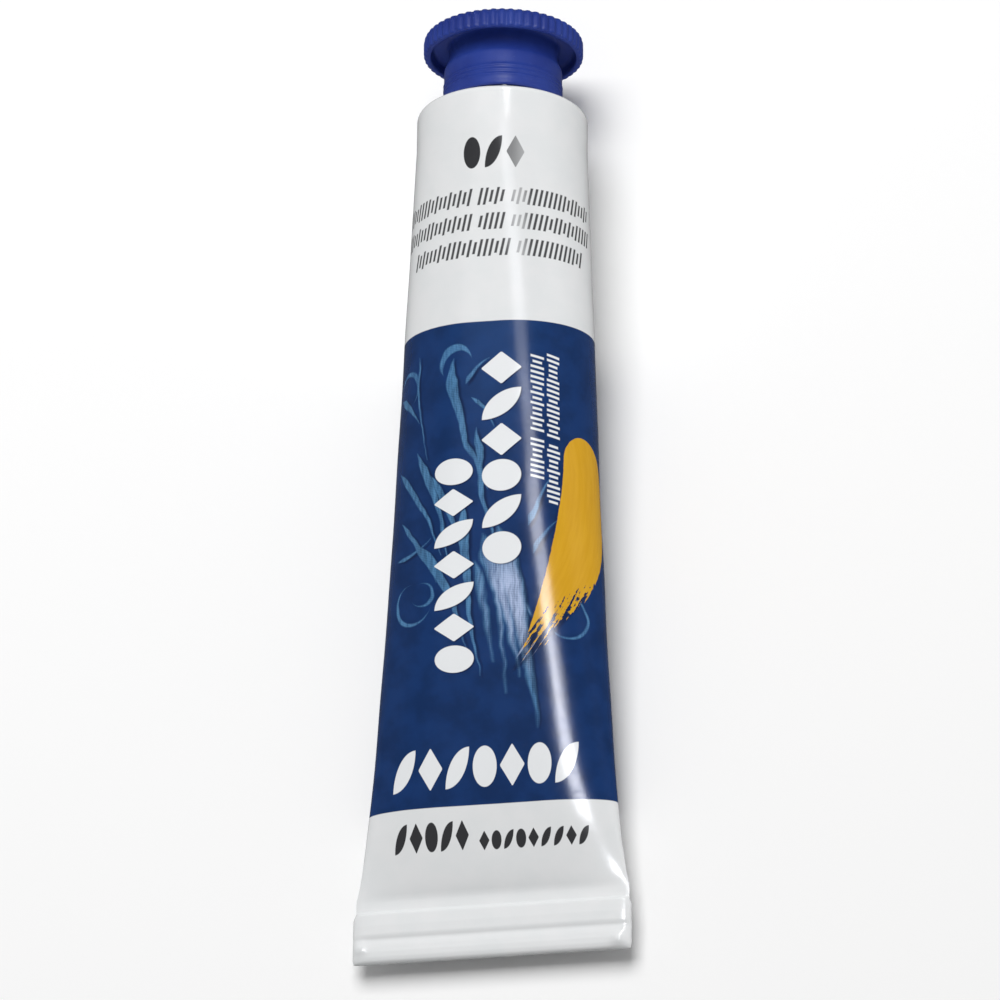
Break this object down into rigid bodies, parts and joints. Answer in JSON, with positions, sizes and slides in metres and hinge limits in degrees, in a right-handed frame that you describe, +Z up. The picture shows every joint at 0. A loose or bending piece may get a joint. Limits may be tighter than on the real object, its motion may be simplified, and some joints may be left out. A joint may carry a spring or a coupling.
{
  "type": "paint tube",
  "caption": "Collapsible aluminium artist's paint tube: printed round sleeve pressed flat and folded at one end, with a threaded nozzle and a ribbed screw cap to stand on at the other.",
  "frame": {"origin": "centre of the base of the whole tube's box, on the table that it lies on", "axes": "+Y along the tube towards the cap, raised 4.4 degrees at the nose; +X across the flat crimp; +Z up, out of the printed front"},
  "size_m": [0.03, 0.107, 0.0194],
  "materials": {
    "white_enamel": "gloss",
    "paint_white": "gloss",
    "latex": "matte",
    "cap_blue": "gloss",
    "liner_white": "satin"
  },
  "bodies": {
    "tube": {"tube_shell": "white_enamel", "paint": "paint_white", "end_seal": "latex"},
    "cap_travel": {"cap_liner": "liner_white"},
    "cap": {"screw_cap": "cap_blue"}
  },
  "joints": [
    {"name": "cap_rise", "type": "slide", "parent": "tube", "child": "cap_travel", "axis": [0, 0.997, 0.0768], "range_m": [0, 0.0054]},
    {"name": "cap_turn", "type": "hinge", "parent": "cap_travel", "child": "cap", "pos_m": [0, 0.03877, 0.00947], "axis": [0, 0.997, 0.0768], "range_deg": [0, 1260]}
  ],
  "couplings": [
    {"joint": "cap_rise", "follows": "cap_turn", "m_per_rad": 0.00023873}
  ]
}
